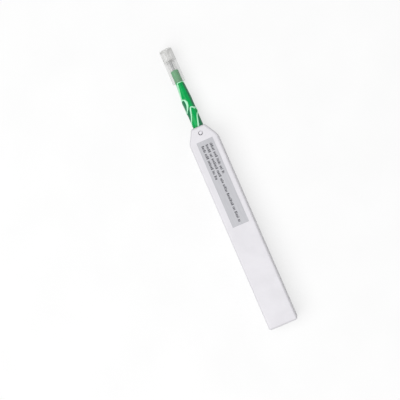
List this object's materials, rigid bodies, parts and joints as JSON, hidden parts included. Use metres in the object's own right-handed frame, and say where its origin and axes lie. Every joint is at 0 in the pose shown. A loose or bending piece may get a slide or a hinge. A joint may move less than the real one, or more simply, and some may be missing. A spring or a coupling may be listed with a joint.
{
  "type": "fibre connector cleaning pen",
  "caption": "Slim one-push cleaning pen for fibre connector end faces, with a flat white case, green sliding nozzle, rotating thread tip and lidded guide cap.",
  "frame": {"origin": "centre of the flat back's plane, under the middle of the whole length", "axes": "+X along the pen towards the tip, +Z out of the labelled face, so the pen lies on its flat back"},
  "size_m": [0.178, 0.018, 0.0146],
  "materials": {
    "white_abs": "moulded white ABS, satin",
    "label_film": "silver-grey printed film, unlettered",
    "green_plastic": "moulded green plastic",
    "clear_plastic": "moulded translucent polypropylene",
    "natural_acetal": "moulded natural acetal",
    "grey_plastic": "moulded grey plastic",
    "cleaning_thread": "white microfibre thread",
    "felt": "pressed felt",
    "spring_steel": "round spring wire",
    "steel_tube": "drawn stainless tube and pin"
  },
  "bodies": {
    "case": {"lower_case": "white_abs", "upper_case": "white_abs", "label": "label_film", "front_bush": "white_abs", "return_spring": "spring_steel"},
    "carriage": {"nozzle": "green_plastic", "reel_chassis": "natural_acetal", "reel_cover": "natural_acetal", "brake_washer": "felt", "fresh_thread": "cleaning_thread", "used_thread": "cleaning_thread"},
    "supply_reel": {"supply_spool": "natural_acetal", "fresh_winding": "cleaning_thread"},
    "take_up_reel": {"take_up_spool": "natural_acetal", "used_winding": "cleaning_thread", "feed_gear": "natural_acetal"},
    "tip_drive": {"cam_barrel": "natural_acetal", "tip_spring": "spring_steel"},
    "tip": {"tip_core": "grey_plastic", "tip_sleeve": "steel_tube", "tip_thread": "cleaning_thread"},
    "cap": {"guide_cap": "clear_plastic", "lid_pin": "steel_tube"},
    "lid": {"cap_lid": "clear_plastic"}
  },
  "joints": [
    {"name": "nozzle_slide", "type": "slide", "parent": "case", "child": "carriage", "axis": [-1, 0, 0], "range_m": [0, 0.012], "stiffness_N_per_m": 300, "springref_m": -0.006, "deforming": ["return_spring"]},
    {"name": "supply_spin", "type": "hinge", "parent": "carriage", "child": "supply_reel", "pos_m": [-0.02095, 0, 0.00725], "axis": [0, 0, -1], "range_deg": [0, 93]},
    {"name": "take_up_spin", "type": "hinge", "parent": "carriage", "child": "take_up_reel", "pos_m": [-0.00615, 0, 0.00725], "axis": [0, 0, -1], "range_deg": [0, 126]},
    {"name": "cam_spin", "type": "hinge", "parent": "carriage", "child": "tip_drive", "pos_m": [0, 0, 0.00725], "axis": [-1, 0, 0], "range_deg": [0, 181]},
    {"name": "tip_float", "type": "slide", "parent": "tip_drive", "child": "tip", "axis": [-1, 0, 0], "range_m": [0, 0.0015], "stiffness_N_per_m": 500, "springref_m": -0.001, "deforming": ["tip_spring"]},
    {"name": "cap_pull", "type": "slide", "parent": "carriage", "child": "cap", "axis": [1, 0, 0], "range_m": [0, 0.02]},
    {"name": "lid_hinge", "type": "hinge", "parent": "cap", "child": "lid", "pos_m": [0.0876, 0, 0.00255], "axis": [0, 1, 0], "range_deg": [0, 100]}
  ],
  "couplings": [
    {"joint": "supply_spin", "follows": "nozzle_slide", "rad_per_m": 134.24},
    {"joint": "take_up_spin", "follows": "nozzle_slide", "rad_per_m": 181.82},
    {"joint": "cam_spin", "follows": "nozzle_slide", "rad_per_m": 261.8}
  ]
}
